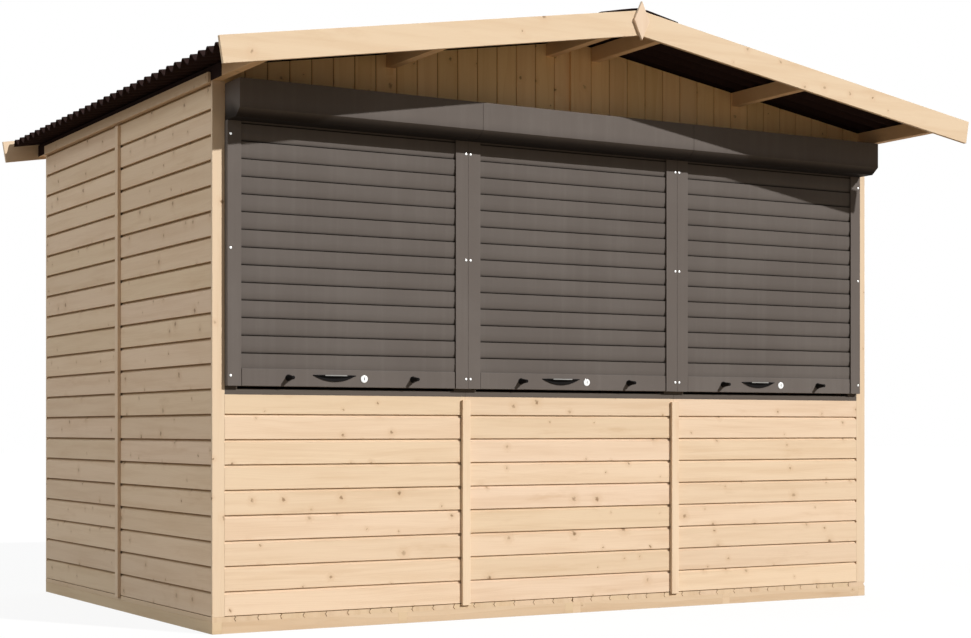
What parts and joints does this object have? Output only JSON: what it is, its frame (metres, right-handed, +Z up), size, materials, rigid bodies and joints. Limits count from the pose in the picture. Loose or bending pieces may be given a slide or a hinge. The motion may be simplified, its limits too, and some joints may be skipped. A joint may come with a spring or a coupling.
{
  "type": "wooden sales kiosk",
  "caption": "Boarded wooden kiosk with a counter front closed by roller shutters and a low gable roof of corrugated sheets with a deep front overhang.",
  "frame": {"origin": "on the ground at the middle of the floor's footprint", "axes": "+X to the right along the counter front, +Y from the front to the back, +Z up"},
  "size_m": [4.1348, 3.211, 2.8618],
  "materials": {
    "board_wood": "planed bare softwood boards",
    "trim_wood": "planed bare softwood strips",
    "floor_wood": "planed bare softwood",
    "frame_wood": "sawn softwood",
    "purlin_wood": "sawn softwood",
    "sill_grey": "dark grey stain",
    "shutter_grey": "satin dark grey coating",
    "black_plastic": "moulded black",
    "lock_steel": "bright steel",
    "bitumen": "dark brown bitumen sheet"
  },
  "bodies": {
    "root": {"floor_bearers_left": "floor_wood", "floor_bearers_right": "floor_wood", "floor_rails": "floor_wood", "floor_left": "floor_wood", "floor_right": "floor_wood", "left_wall_front": "board_wood", "left_wall_back": "board_wood", "right_wall_front": "board_wood", "right_wall_back": "board_wood", "side_wall_strips": "trim_wood", "wall_plates": "trim_wood", "corner_strips": "trim_wood", "front_panel_left": "board_wood", "front_panel_middle": "board_wood", "front_panel_right": "board_wood", "front_panel_strips": "trim_wood", "counter_sill": "sill_grey", "front_posts": "sill_grey", "front_header": "frame_wood", "front_gable": "board_wood", "back_wall_left": "board_wood", "back_wall_right": "board_wood", "back_wall_over_door": "board_wood", "back_door": "board_wood", "back_door_strips": "trim_wood", "back_door_knob": "black_plastic", "back_gable": "board_wood", "gable_strips": "trim_wood", "outer_guides": "shutter_grey", "mullion_guides": "shutter_grey", "shutter_boxes": "shutter_grey", "curtain_left": "shutter_grey", "curtain_middle": "shutter_grey", "curtain_right": "shutter_grey", "bottom_bars": "shutter_grey", "stop_stubs": "black_plastic", "pull_handles": "black_plastic", "lock_rosettes": "lock_steel", "purlins": "purlin_wood", "roof_sheet_left": "bitumen", "roof_sheet_right": "bitumen", "ridge_cap": "bitumen", "front_barges": "trim_wood", "back_barges": "trim_wood", "finials": "trim_wood"}
  },
  "joints": []
}
